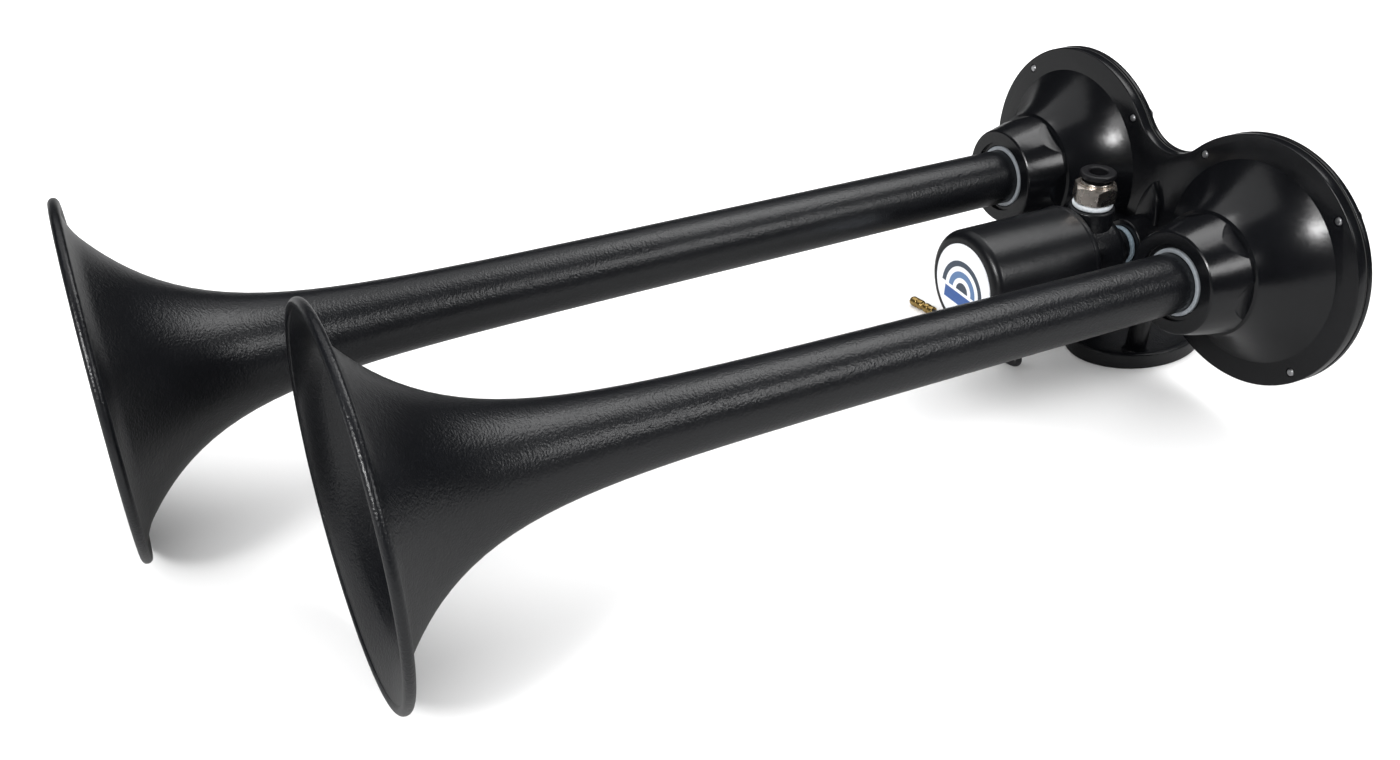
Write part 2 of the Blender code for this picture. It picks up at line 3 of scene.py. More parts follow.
import bmesh
import bpy
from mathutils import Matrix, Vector


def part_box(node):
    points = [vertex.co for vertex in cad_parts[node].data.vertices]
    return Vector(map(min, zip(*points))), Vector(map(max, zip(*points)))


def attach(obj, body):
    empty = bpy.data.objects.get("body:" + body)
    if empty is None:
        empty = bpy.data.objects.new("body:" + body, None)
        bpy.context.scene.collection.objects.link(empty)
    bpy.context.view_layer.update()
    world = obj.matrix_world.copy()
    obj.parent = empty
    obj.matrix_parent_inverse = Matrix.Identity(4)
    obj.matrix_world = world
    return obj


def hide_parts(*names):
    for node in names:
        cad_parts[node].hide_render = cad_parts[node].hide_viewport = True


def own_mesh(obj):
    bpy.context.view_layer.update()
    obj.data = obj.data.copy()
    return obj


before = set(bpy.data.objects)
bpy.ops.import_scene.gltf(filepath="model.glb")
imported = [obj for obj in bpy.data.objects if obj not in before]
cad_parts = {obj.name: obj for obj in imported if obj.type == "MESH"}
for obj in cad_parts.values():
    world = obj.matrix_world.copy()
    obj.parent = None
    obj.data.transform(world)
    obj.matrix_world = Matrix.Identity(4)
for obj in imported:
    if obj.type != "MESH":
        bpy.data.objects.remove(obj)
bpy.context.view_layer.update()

# ---------------------------------------------------------------- camera, floor and lights
# The horn stands on white paper, lit by soft boxes at its right, behind it and beyond the
# bells, with an even glow from overhead. The camera looks down on it from beside the bells.
CAMERA_PLACE = (0.43597, -0.46541, 0.37083)
CAMERA_DEGREES = (55.518, 1.741, 67.337)
FOCAL_LENGTH = 34.54
bpy.ops.object.camera_add(location=CAMERA_PLACE,
                          rotation=[math.radians(angle) for angle in CAMERA_DEGREES])
camera = bpy.context.object
camera.name = "studio_camera"
camera.data.sensor_width = 36.0
camera.data.lens = FOCAL_LENGTH
camera.data.shift_x = 0.08185
camera.data.shift_y = 0.01524
camera.data.clip_start = 0.01
bpy.context.scene.camera = camera
bpy.context.scene.view_settings.view_transform = "Standard"


class Shade:
    """One value inside a finish. Plain arithmetic on it adds the finish's Math nodes."""

    def __init__(self, finish, socket):
        self.finish = finish
        self.socket = socket

    def calc(self, operation, *values):
        return self.finish.node("ShaderNodeMath", {"operation": operation},
                                dict(enumerate(values)))

    def __add__(self, other):
        return self.calc("ADD", self, other)

    def __sub__(self, other):
        return self.calc("SUBTRACT", self, other)

    def __mul__(self, other):
        return self.calc("MULTIPLY", self, other)

    def __truediv__(self, other):
        return self.calc("DIVIDE", self, other)

    def __pow__(self, other):
        return self.calc("POWER", self, other)

    def __gt__(self, other):
        return self.calc("GREATER_THAN", self, other)

    def __lt__(self, other):
        return self.calc("LESS_THAN", self, other)

    __radd__ = __add__
    __rmul__ = __mul__


class Finish:
    """A painted, plated or moulded surface: its shader, and the nodes that vary it."""

    def __init__(self, name, colour, roughness, metallic=0.0):
        self.material = bpy.data.materials.new(name)
        self.material.use_nodes = True
        self.tree = self.material.node_tree
        self.shader = self.tree.nodes["Principled BSDF"]
        self.feed(Roughness=roughness, Metallic=metallic, **{"Base Color": (*colour, 1.0)})
        self.place = self.node("ShaderNodeTexCoord", {}, {}, "Object")

    def feed(self, **sockets):
        """Sets or links the shader's own sockets."""
        self.connect(self.shader, sockets)

    def connect(self, node, sockets):
        for key, value in sockets.items():
            if isinstance(value, Shade):
                self.tree.links.new(value.socket, node.inputs[key])
            else:
                node.inputs[key].default_value = value

    def node(self, kind, settings, sockets, output=0):
        made = self.tree.nodes.new(kind)
        for key, value in settings.items():
            setattr(made, key, value)
        self.connect(made, sockets)
        return Shade(self, made.outputs[output])

    def stretched(self, scale):
        """The place on the piece, stretched by its own factor along each axis."""
        return self.node("ShaderNodeVectorMath", {"operation": "MULTIPLY"},
                         {0: self.place, 1: scale})

    def noise(self, scale, detail=2.0, place=None):
        return self.node("ShaderNodeTexNoise", {}, {
            "Vector": place or self.place, "Scale": scale, "Detail": detail})

    def cells(self, scale):
        return self.node("ShaderNodeTexVoronoi", {}, {"Vector": self.place, "Scale": scale})

    def axis(self, name):
        return self.node("ShaderNodeSeparateXYZ", {}, {"Vector": self.place}, name)

    def between(self, mask, low, high):
        """Low colour where the mask is 0, high colour where it is 1."""
        return self.node("ShaderNodeMix", {"data_type": "RGBA"}, {
            0: mask, 6: low if isinstance(low, Shade) else (*low, 1.0), 7: (*high, 1.0)}, 2)

    def relief(self, height, depth):
        """Bumps of the given depth, in metres, on the surface."""
        self.feed(Normal=self.node("ShaderNodeBump", {}, {
            "Strength": 1.0, "Distance": depth, "Height": height}))

    def wear(self, piece):
        """Gives the piece this finish all over."""
        piece.data.materials.clear()
        piece.data.materials.append(self.material)


FLOOR_SIZE = 9.0
PAPER = (0.93, 0.93, 0.93)
PAPER_IN_REFLECTIONS = (0.31, 0.31, 0.31)
bpy.ops.mesh.primitive_plane_add(size=FLOOR_SIZE, location=(0.0, 0.0, 0.0))
floor = bpy.context.object
floor.name = "paper_floor"
paper = Finish("white_paper", PAPER, 0.9)
# Painted shade: to glossy rays the paper is about a third as bright, so its reflection in the
# horn comes out dimmer than the floor the camera sees.
mirrored = paper.node("ShaderNodeLightPath", {}, {}, "Is Glossy Ray")
paper.feed(**{"Specular IOR Level": 0.0,
              "Base Color": paper.between(mirrored, PAPER, PAPER_IN_REFLECTIONS)})
paper.wear(floor)

world = bpy.data.worlds.new("studio_world")
bpy.context.scene.world = world
world.use_nodes = True
sky = world.node_tree
seen = sky.nodes["Background"]
seen.inputs["Color"].default_value = (1.0, 1.0, 1.0, 1.0)
seen.inputs["Strength"].default_value = 1.0
fill = sky.nodes.new("ShaderNodeBackground")
fill.inputs["Color"].default_value = (0.94, 0.97, 1.0, 1.0)
fill.inputs["Strength"].default_value = 0.015
rays = sky.nodes.new("ShaderNodeLightPath")
either = sky.nodes.new("ShaderNodeMixShader")
sky.links.new(rays.outputs["Is Camera Ray"], either.inputs[0])
sky.links.new(fill.outputs[0], either.inputs[1])
sky.links.new(seen.outputs[0], either.inputs[2])
sky.links.new(either.outputs[0], sky.nodes["World Output"].inputs["Surface"])


def soft_box(name, place, aim, size, brightness):
    """A rectangular lamp of even brightness, turned to face its aim."""
    bpy.ops.object.light_add(type="AREA", location=place)
    lamp = bpy.context.object
    lamp.name = name
    lamp.data.shape = "RECTANGLE"
    lamp.data.size, lamp.data.size_y = size
    lamp.data.energy = brightness * math.pi * size[0] * size[1]
    lamp.rotation_euler = (Vector(aim) - Vector(place)).to_track_quat("-Z", "Y").to_euler()


soft_box("right_box", (1.45, 0.62, 1.22), (0.0, -0.15, 0.05), (0.60, 0.50), 7.0)
soft_box("back_box", (-0.25, 0.60, 1.45), (0.0, -0.15, 0.05), (1.00, 0.65), 3.4)
soft_box("front_box", (0.47, -1.53, 1.04), (0.0, -0.05, 0.10), (0.95, 0.45), 4.5)
soft_box("small_box", (0.68, -1.43, 0.93), (0.0, -0.05, 0.10), (0.30, 0.30), 32.0)
soft_box("ceiling_box", (-0.80, -0.20, 1.60), (0.0, -0.20, 0.0), (1.80, 1.80), 0.7)
bpy.ops.object.light_add(type="SUN", location=(0.0, 0.0, 2.0))
ceiling = bpy.context.object
ceiling.name = "ceiling_glow"
ceiling.data.energy = 4.0
ceiling.data.angle = math.radians(140)
ceiling.visible_glossy = False

# ---------------------------------------------------------------- the coil's two leads
# Black PVC-covered wires drop out of a rubber grommet under the coil, rest on the ground and
# end in crimped brass bullet terminals, after 88.5 mm and 75.6 mm of wire.
LEAD_DIAMETER = 0.0030
LEAD_ROUTES = {
    "lead_1": ((0.0, -0.0690, 0.0286), (0.0, -0.0690, 0.0250), (0.0006, -0.0688, 0.0205),
               (0.0020, -0.0680, 0.0150), (0.0024, -0.0662, 0.0090), (-0.0006, -0.0645, 0.0045),
               (-0.0065, -0.0638, 0.0020), (-0.0140, -0.0640, 0.0017),
               (-0.0230, -0.0652, 0.0017), (-0.0320, -0.0664, 0.0017),
               (-0.0400, -0.0670, 0.0018), (-0.0480, -0.0676, 0.0022),
               (-0.0555, -0.0688, 0.0025), (-0.0620, -0.0701, 0.0026)),
    "lead_2": ((0.0, -0.0740, 0.0286), (0.0, -0.0740, 0.0250), (-0.0008, -0.0738, 0.0200),
               (-0.0040, -0.0726, 0.0140), (-0.0090, -0.0695, 0.0080),
               (-0.0135, -0.0640, 0.0059), (-0.0160, -0.0580, 0.0036),
               (-0.0205, -0.0525, 0.0018), (-0.0270, -0.0490, 0.0017),
               (-0.0350, -0.0478, 0.0020), (-0.0430, -0.0486, 0.0025),
               (-0.0490, -0.0500, 0.0026)),
}
TERMINAL_LENGTH = 0.0160
TERMINAL_RADIUS = 0.0025
CREASE = 30.0


def smooth_route(points, per_span=8):
    """A smooth curve through every point of the route."""
    knots = [2 * Vector(points[0]) - Vector(points[1]), *(Vector(p) for p in points),
             2 * Vector(points[-1]) - Vector(points[-2])]
    fine = []
    for before, start, end, after in zip(knots, knots[1:], knots[2:], knots[3:]):
        for k in range(per_span):
            t = k / per_span
            fine.append(0.5 * (2 * start + (end - before) * t
                               + (2 * before - 5 * start + 4 * end - after) * t ** 2
                               + (3 * start - before - 3 * end + after) * t ** 3))
    return fine + [Vector(points[-1])]


def draw(name, points):
    """A new piece in edit mode: one vertex, extruded from point to point."""
    bpy.ops.object.select_all(action="DESELECT")
    bpy.ops.mesh.primitive_plane_add(size=0.001, location=(0.0, 0.0, 0.0))
    piece = bpy.context.object
    piece.name = piece.data.name = name
    bpy.ops.object.mode_set(mode="EDIT")
    bpy.ops.mesh.select_mode(type="VERT")
    bpy.ops.mesh.merge(type="CENTER")
    bpy.ops.transform.translate(value=points[0])
    for start, end in zip(points, points[1:]):
        bpy.ops.mesh.extrude_region_move(
            TRANSFORM_OT_translate={"value": Vector(end) - Vector(start)})
    bpy.ops.mesh.select_all(action="SELECT")
    bpy.ops.mesh.remove_doubles(threshold=1e-7)
    return piece


def pick(piece, kind, wanted):
    """Selects, in edit mode, only the vertices, edges or faces that pass the test."""
    bpy.ops.mesh.select_mode(type={"verts": "VERT", "edges": "EDGE", "faces": "FACE"}[kind])
    bpy.ops.mesh.select_all(action="DESELECT")
    shape = bmesh.from_edit_mesh(piece.data)
    for part in getattr(shape, kind):
        if wanted(part):
            part.select = True
    shape.select_flush_mode()
    bmesh.update_edit_mesh(piece.data)


def finish_mesh(piece):
    """Leaves edit mode with outward faces, smooth except at the creases."""
    bpy.ops.mesh.select_all(action="SELECT")
    bpy.ops.mesh.remove_doubles(threshold=1e-6)
    bpy.ops.mesh.normals_make_consistent(inside=False)
    bpy.ops.object.mode_set(mode="OBJECT")
    bpy.ops.object.shade_smooth_by_angle(angle=math.radians(CREASE))
    return piece


TO_BELLS = Vector((0.0, -1.0, 0.0))
UP = Vector((0.0, 0.0, 1.0))


def turn(name, profile, centre, along=TO_BELLS, steps=96):
    """A lathe-turned piece: stations of (radius, height) and, for a rounded corner, its size."""
    centre = Vector(centre)
    side = Vector((1.0, 0.0, 0.0)) if abs(along.x) < 0.5 else UP
    if abs(side.dot(along)) > 1e-6:
        side = along.cross(UP).normalized()
    points = [centre + side * s[0] + along * s[1] for s in profile]
    if profile[0][0] > 0.0:
        points.append(points[0])
    piece = draw(name, points)
    for size in sorted({s[2] for s in profile if len(s) > 2}):
        corners = [p for p, s in zip(points, profile) if len(s) > 2 and s[2] == size]
        pick(piece, "verts", lambda v: any((v.co - c).length < 1e-6 for c in corners))
        bpy.ops.mesh.bevel(offset=size, segments=6, affect="VERTICES")
    bpy.ops.mesh.select_mode(type="VERT")
    bpy.ops.mesh.select_all(action="SELECT")
    bpy.ops.mesh.spin(steps=steps, angle=2 * math.pi, center=centre, axis=along)
    return finish_mesh(piece)


def boolean(piece, operation, others, crease=None):
    """Joins or cuts with each of the others, which are used up. May smooth the result."""
    for other in others:
        step = piece.modifiers.new(operation.title(), "BOOLEAN")
        step.operation = operation
        step.solver = "MANIFOLD"
        step.object = other
        bpy.context.view_layer.objects.active = piece
        bpy.ops.object.modifier_apply(modifier=step.name)
        bpy.data.objects.remove(other, do_unlink=True)
    if crease is not None:
        bpy.ops.object.select_all(action="DESELECT")
        piece.select_set(True)
        bpy.context.view_layer.objects.active = piece
        bpy.ops.object.shade_smooth_by_angle(angle=math.radians(crease))
    return piece


def fit(piece, body, nodes, finish):
    """Puts a finished piece on its body in place of its CAD nodes."""
    finish.wear(piece)
    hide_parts(*nodes)
    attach(piece, body)


def seat(node, along=TO_BELLS):
    """A CAD node's low and high corners, and the point at zero on its axis."""
    low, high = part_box(node)
    middle = (low + high) / 2
    return low, high, middle - along * middle.dot(along)


lead_skin = Finish("lead_skin", (0.018, 0.018, 0.020), 0.42)
lead_skin.feed(Roughness=0.36 + 0.16 * lead_skin.noise(420.0))
lead_skin.relief(lead_skin.noise(900.0, 3.0), 0.00006)

brass = Finish("brass", (0.80, 0.55, 0.20), 0.26, 1.0)
tarnish = brass.noise(260.0, 4.0)
brass.feed(Roughness=0.18 + 0.22 * tarnish,
           **{"Base Color": brass.between(tarnish, (0.86, 0.62, 0.24), (0.66, 0.42, 0.14))})
brass.relief(brass.noise(2600.0), 0.00003)

for name, route in LEAD_ROUTES.items():
    number = name[-1]
    path = smooth_route(route)
    line = bpy.data.curves.new(f"{name}_wire", "CURVE")
    line.dimensions = "3D"
    line.bevel_depth = LEAD_DIAMETER / 2
    line.bevel_resolution = 6
    line.use_fill_caps = True
    spline = line.splines.new("POLY")
    spline.points.add(len(path) - 1)
    for point, place in zip(spline.points, path):
        point.co = (*place, 1.0)
    wire = bpy.data.objects.new(f"{name}_wire", line)
    bpy.context.scene.collection.objects.link(wire)
    fit(wire, "horn", [name], lead_skin)

    way = Vector(route[-1]) - Vector(route[-2])
    way.z = 0.0
    way.normalize()
    end = Vector(route[-1]) - way * 0.0002
    end.z = TERMINAL_RADIUS + 0.0001
    barrel = turn(f"bullet_terminal_{number}", [
        (0.0012, TERMINAL_LENGTH), (0.0020, TERMINAL_LENGTH, 0.0004),
        (TERMINAL_RADIUS, 0.0148, 0.0004), (TERMINAL_RADIUS, 0.0118, 0.0002),
        (0.0022, 0.0115), (0.0022, 0.0111), (TERMINAL_RADIUS, 0.0108, 0.0002),
        (TERMINAL_RADIUS, 0.0086, 0.0003), (0.0019, 0.0079, 0.0003), (0.0019, 0.0067, 0.0003),
        (TERMINAL_RADIUS, 0.0060, 0.0003), (TERMINAL_RADIUS, 0.0038, 0.0002),
        (0.0021, 0.0035), (0.0021, 0.0029), (TERMINAL_RADIUS, 0.0026, 0.0002),
        (TERMINAL_RADIUS, 0.0004, 0.0002), (0.0015, 0.0002), (0.0006, 0.0002),
        (0.0006, 0.0100), (0.0012, 0.0103)], end, way, 40)
    fit(barrel, "horn", [f"terminal_{number}"], brass)
    length = sum((b - a).length for a, b in zip(path, path[1:]))

rubber = Finish("rubber", (0.022, 0.022, 0.022), 0.62)
rubber.feed(Roughness=0.55 + 0.25 * rubber.noise(300.0))
rubber.relief(rubber.noise(1500.0, 3.0), 0.00005)

low, high, spot = seat("lead_grommet", UP)
grommet = turn("coil_grommet", [
    (0.0, high.z), (0.0045, high.z), (0.0045, low.z + 0.0038), (0.0062, low.z + 0.0038, 0.0003),
    (0.0060, low.z + 0.0022, 0.0008), (0.0051, low.z + 0.0002, 0.0006), (0.0, low.z + 0.0002)],
    spot, UP, 48)
fit(grommet, "horn", ["lead_grommet"], rubber)

# ---------------------------------------------------------------- trumpets
# Two spun aluminium trumpets of unequal length, with the bell's lip rolled over a wire. They
# are powder coated satin black, and their tubes push into the housing's collars.
SIDES = {"near": 1, "far": -1}
BELL_RADIUS = 0.0755
BEAD = 0.0022
TUBE_END = 0.0131
SPUN_WALL = 0.0016

powder_coat = Finish("powder_coat", (0.004, 0.004, 0.005), 0.32)
mottle = powder_coat.noise(38.0, 3.0)
peel = powder_coat.noise(1150.0, 2.0) + 0.6 * powder_coat.noise(520.0, 1.0)
powder_coat.feed(Roughness=0.26 + 0.08 * mottle, **{
    "Specular IOR Level": 0.62,
    "Base Color": powder_coat.between(mottle, (0.0025, 0.0028, 0.0036),
                                      (0.0050, 0.0055, 0.0070))})
powder_coat.relief(peel, 0.00016)


def curve(start, pull, end, count):
    """Points on a smooth bend from start to end, drawn towards pull, without its last point."""
    points = []
    for i in range(count):
        t = i / count
        points.append(tuple((1 - t) ** 2 * a + 2 * t * (1 - t) * b + t * t * c
                            for a, b, c in zip(start, pull, end)))
    return points


for side_name in SIDES:
    low, high, centre = seat(f"{side_name}_trumpet")
    reach = -low.y - BEAD
    tail = -high.y

    def flare(behind, reach=reach, tail=tail):
        """Outer radius of the trumpet at a distance behind its bell."""
        return (TUBE_END + 0.0028 * (1 - behind / (reach - tail))
                + 0.0510 * math.exp(-behind / 0.0339))

    stations = [0.006 + (reach - 0.050) * (i / 40) ** 1.9 for i in range(41)]
    bead = [(BELL_RADIUS - BEAD + BEAD * math.cos(math.radians(a)),
             reach + BEAD * math.sin(math.radians(a))) for a in range(150, -151, -12)]
    lip = curve((0.0700, reach - 0.0010), (0.0626, reach - 0.0029),
                (flare(0.006), reach - 0.006), 5)
    outer = [(flare(d), reach - d) for d in stations]
    inner = [(flare(d + 0.0012) - SPUN_WALL, reach - d) for d in stations]
    throat = curve((0.0695, reach + 0.0008), (0.0620, reach - 0.0014),
                   (inner[0][0], inner[0][1]), 5)
    bore = TUBE_END - SPUN_WALL
    profile = [*bead, *lip, *outer, (TUBE_END, 0.0430), (TUBE_END, tail, 0.0004),
               (bore, tail, 0.0003), (bore, 0.0430), *reversed(inner), *reversed(throat)]
    trumpet = turn(f"{side_name}_spun_trumpet", profile, centre, steps=144)
    fit(trumpet, "horn", [f"{side_name}_trumpet"], powder_coat)

# ---------------------------------------------------------------- seal rings
# A pale grey rubber ring sits in each collar's front recess, round the trumpet's tube.
seal_rubber = Finish("grey_seal_rubber", (0.30, 0.32, 0.34), 0.55)
smear = seal_rubber.noise(500.0, 3.0)
seal_rubber.feed(Roughness=0.45 + 0.25 * smear, **{
    "Base Color": seal_rubber.between(smear, (0.16, 0.18, 0.20), (0.30, 0.32, 0.34))})
seal_rubber.relief(seal_rubber.noise(1400.0), 0.00005)

for side_name in SIDES:
    low, high, centre = seat(f"{side_name}_seal_ring")
    radius = (high.x - low.x) / 2
    ring = turn(f"{side_name}_seal", [
        (TUBE_END + 0.0001, -high.y), (TUBE_END + 0.0001, -low.y, 0.0004),
        (radius, -low.y, 0.0007), (radius, -high.y)], centre, steps=96)
    fit(ring, "horn", [f"{side_name}_seal_ring"], seal_rubber)

# ---------------------------------------------------------------- front housing
# One die casting: a two-lobed flange, a flared funnel and wrench-flatted collar for each
# trumpet, and a bridge of duct, inlet boss and pointed rib between them. Gloss black paint.
LOBE_X = 0.0600
low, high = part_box("front_housing")
AXIS_Z = (low.z + high.z) / 2
VALVE_Z = AXIS_Z - 0.0166
LOBE_RADIUS = 0.0566
BLEND_RADIUS = 0.0234
FLANGE = 0.0044
DUCT_Y = -0.0036
SCREW_CIRCLE = 0.0520
SCREW_HOLE = 0.00205
COLLAR_FLAT = 0.0258
FLAT_CUTTER = (0.0060, 0.0203, 0.0180)
FOOT_POST_X = 0.0125
FOOT_POST_Y = -0.0025
FOOT_POST = 0.0050
FOOT_BORE = 0.0023

gloss_paint = Finish("gloss_paint", (0.003, 0.003, 0.004), 0.20)
flow = gloss_paint.noise(55.0, 3.0)
gloss_paint.feed(Roughness=0.17 + 0.09 * flow, **{
    "Base Color": gloss_paint.between(flow, (0.0020, 0.0022, 0.0027),
                                      (0.0045, 0.0048, 0.0060))})
gloss_paint.relief(gloss_paint.noise(240.0, 2.0) + 0.12 * gloss_paint.noise(1500.0, 1.0),
                   0.00006)


def arc(centre, radius, start, end, count):
    angles = [math.radians(start + (end - start) * i / count) for i in range(count + 1)]
    return [(centre[0] + radius * math.cos(a), centre[1] + radius * math.sin(a))
            for a in angles]


def two_lobes(shrink=0.0):
    """The flange's outline about the trumpets' height: two discs joined by hollow blends."""
    lobe = LOBE_RADIUS - shrink
    blend = BLEND_RADIUS + shrink
    rise = math.sqrt((lobe + blend) ** 2 - LOBE_X ** 2)
    lean = math.degrees(math.atan2(rise, LOBE_X))
    return [*arc((LOBE_X, 0.0), lobe, lean - 180, 180 - lean, 84),
            *arc((0.0, rise), blend, -lean, lean - 180, 26)[1:-1],
            *arc((-LOBE_X, 0.0), lobe, lean, 360 - lean, 84),
            *arc((0.0, -rise), blend, 180 - lean, lean, 26)[1:-1]]


def slab(name, outline, front, back, edge):
    """An upright plate of the given outline, with its edges rounded."""
    points = [(across, front, AXIS_Z + up) for across, up in outline]
    piece = draw(name, points)
    bpy.ops.mesh.edge_face_add()
    bpy.ops.mesh.extrude_region_move(TRANSFORM_OT_translate={"value": (0.0, back - front, 0.0)})
    bpy.ops.mesh.select_all(action="SELECT")
    bpy.ops.mesh.normals_make_consistent(inside=False)
    if edge:
        pick(piece, "edges", lambda e: abs(e.verts[0].co.y - e.verts[1].co.y) < 1e-7)
        bpy.ops.mesh.bevel(offset=edge, segments=4, affect="EDGES")
    return finish_mesh(piece)


def rod(name, radius, start, end, steps=48):
    """A straight round bar, used to add a boss or drill a hole."""
    start = Vector(start)
    run = Vector(end) - start
    return turn(name, [(0.0, run.length), (radius, run.length), (radius, 0.0), (0.0, 0.0)],
                start, run.normalized(), steps)


def block(place, size, lean=0.0):
    """A box leaning about Y, used to cut a flat or a slot."""
    bpy.ops.object.select_all(action="DESELECT")
    bpy.ops.mesh.primitive_cube_add(size=1.0, location=place, rotation=(0.0, lean, 0.0),
                                    scale=size)
    bpy.ops.object.transform_apply(location=True, rotation=True, scale=True)
    return bpy.context.object


def screw_spots():
    """Across and up from the middle of the flange, for each cover screw."""
    return [(side * LOBE_X + SCREW_CIRCLE * math.cos(math.radians(angle)),
             SCREW_CIRCLE * math.sin(math.radians(angle)))
            for side in (1, -1) for angle in (45, 135, 225, 315)]


housing = slab("cast_housing", two_lobes(), 0.0, FLANGE, 0.0006)
casting = []
cuts = []
for side in SIDES.values():
    centre = (side * LOBE_X, 0.0, AXIS_Z)
    casting.append(turn("funnel", [
        (0.0, 0.0430), (0.0226, 0.0430, 0.0005), (0.0233, 0.0423), (0.0275, 0.0246, 0.0004),
        (0.0269, 0.0242), (0.0269, 0.0236),
        *curve((0.0283, 0.0230), (0.0330, 0.0090), (0.0470, -0.0008), 24),
        (0.0470, -0.0008), (0.0470, -0.0030), (0.0, -0.0030)], centre, steps=144))
    for k in range(6):
        lean = math.radians(60 * k)
        away = COLLAR_FLAT + FLAT_CUTTER[0] / 2
        cuts.append(block((centre[0] + away * math.cos(lean), -0.0340,
                           AXIS_Z - away * math.sin(lean)), FLAT_CUTTER, lean))
    cuts.append(turn("throat_bore", [
        (0.0, 0.0450), (0.0172, 0.0450), (0.0172, 0.0415, 0.0003), (0.0154, 0.0415, 0.0003),
        (0.0154, 0.0400), (0.0138, 0.0400), (0.0138, 0.0200), (0.0095, 0.0200),
        (0.0095, -0.0030), (0.0, -0.0030)], centre, steps=96))
    cuts.append(turn("air_chamber", [
        (0.0, -0.0016), (0.0125, -0.0016), (0.0125, 0.0160),
        *curve((0.0232, 0.0160), (0.0290, 0.0060), (0.0385, 0.0006), 8), (0.0385, 0.0006),
        (0.0385, -0.0016), (0.0438, -0.0016), (0.0438, -0.0060), (0.0, -0.0060)], centre,
        steps=96))
    post_x = side * FOOT_POST_X
    casting.append(rod("foot_boss", FOOT_POST, (post_x, FOOT_POST_Y, 0.0375),
                       (post_x, FOOT_POST_Y, VALVE_Z)))
    cuts.append(rod("foot_boss_bore", FOOT_BORE, (post_x, FOOT_POST_Y, 0.0300),
                    (post_x, FOOT_POST_Y, 0.0500), 24))
casting.append(rod("duct", 0.0071, (-0.030, DUCT_Y, VALVE_Z), (0.030, DUCT_Y, VALVE_Z), 64))
casting.append(turn("inlet_boss", [
    (0.0, 0.0135), (0.0125, 0.0135, 0.0010), (0.0125, -0.0020), (0.0, -0.0020)],
    (0.0, 0.0, VALVE_Z), steps=72))
LEAF_TIP = (0.0, 0.0140)
right_edge = [*curve((0.0070, -0.0160), (0.0086, 0.0040), LEAF_TIP, 16), LEAF_TIP]
leaf = [*right_edge, *[(-across, up) for across, up in reversed(right_edge[:-1])]]
casting.append(slab("leaf_rib", leaf, -0.0027, 0.0010, 0.0012))
cuts.append(rod("cross_bore", 0.0042, (-0.034, DUCT_Y, VALVE_Z), (0.034, DUCT_Y, VALVE_Z), 32))
cuts.append(rod("nipple_socket", 0.0087, (0.0, -0.0150, VALVE_Z), (0.0, -0.0090, VALVE_Z), 48))
cuts.append(rod("inlet_bore", 0.0037, (0.0, -0.0100, VALVE_Z), (0.0, DUCT_Y, VALVE_Z), 24))
for across, up in screw_spots():
    cuts.append(rod("screw_hole", SCREW_HOLE, (across, -0.002, AXIS_Z + up),
                    (across, 0.008, AXIS_Z + up), 24))
boolean(housing, "UNION", casting)
boolean(housing, "DIFFERENCE", cuts, 14.0)
fit(housing, "horn", ["front_housing"], gloss_paint)

# ---------------------------------------------------------------- gasket, back cover, screws
# A thin rubber gasket and a pressed cover close the diaphragm chambers. Eight pan-head screws
# come through from the back, and their tips show as bright dots in the flange's face.
low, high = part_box("cover_gasket")
gasket = slab("chamber_gasket", two_lobes(0.0004), low.y, high.y, 0.0)
holes = [rod("chamber", 0.0444, (side * LOBE_X, low.y - 0.002, AXIS_Z),
             (side * LOBE_X, high.y + 0.002, AXIS_Z), 96) for side in (1, -1)]
holes += [rod("screw_hole", 0.0021, (across, low.y - 0.002, AXIS_Z + up),
              (across, high.y + 0.002, AXIS_Z + up), 24) for across, up in screw_spots()]
boolean(gasket, "DIFFERENCE", holes, CREASE)
fit(gasket, "horn", ["cover_gasket"], rubber)

COVER_PLATE = 0.0023
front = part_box("back_cover")[0].y
back = front + COVER_PLATE
cover = slab("domed_cover", two_lobes(), front, back, 0.0005)
domes = []
holes = []
for side in (1, -1):
    centre = (side * LOBE_X, 0.0, AXIS_Z)
    domes.append(turn("dome", [
        (0.0, 0.001 - back), (0.0435, 0.001 - back), (0.0432, -back),
        (0.0400, -back - 0.0040, 0.0020),
        (0.0260, -back - 0.0048, 0.0010), (0.0250, -back - 0.0042, 0.0006),
        (0.0180, -back - 0.0046, 0.0006), (0.0170, -back - 0.0053, 0.0010),
        (0.0100, -back - 0.0058), (0.0, -back - 0.0058)], centre, steps=128))
    holes.append(turn("hollow", [
        (0.0, 0.001 - front), (0.0380, 0.001 - front), (0.0362, -back - 0.0018),
        (0.0, -back - 0.0030)], centre, steps=96))
    holes.append(turn("vent", [
        (0.0, 0.0), (0.0025, 0.0), (0.0025, -back - 0.0050), (0.0036, -back - 0.0062),
        (0.0036, -back - 0.0080), (0.0, -back - 0.0080)], centre, steps=48))
holes += [rod("screw_hole", SCREW_HOLE, (across, front - 0.002, AXIS_Z + up),
              (across, back + 0.002, AXIS_Z + up), 24) for across, up in screw_spots()]
boolean(cover, "UNION", domes)
boolean(cover, "DIFFERENCE", holes, 20.0)
fit(cover, "horn", ["back_cover"], gloss_paint)

zinc = Finish("zinc_plate", (0.60, 0.61, 0.63), 0.30, 1.0)
cloud = zinc.noise(700.0, 3.0)
zinc.feed(Roughness=0.22 + 0.22 * cloud, **{
    "Base Color": zinc.between(cloud, (0.70, 0.71, 0.72), (0.50, 0.50, 0.52))})
zinc.relief(zinc.noise(3200.0), 0.00003)

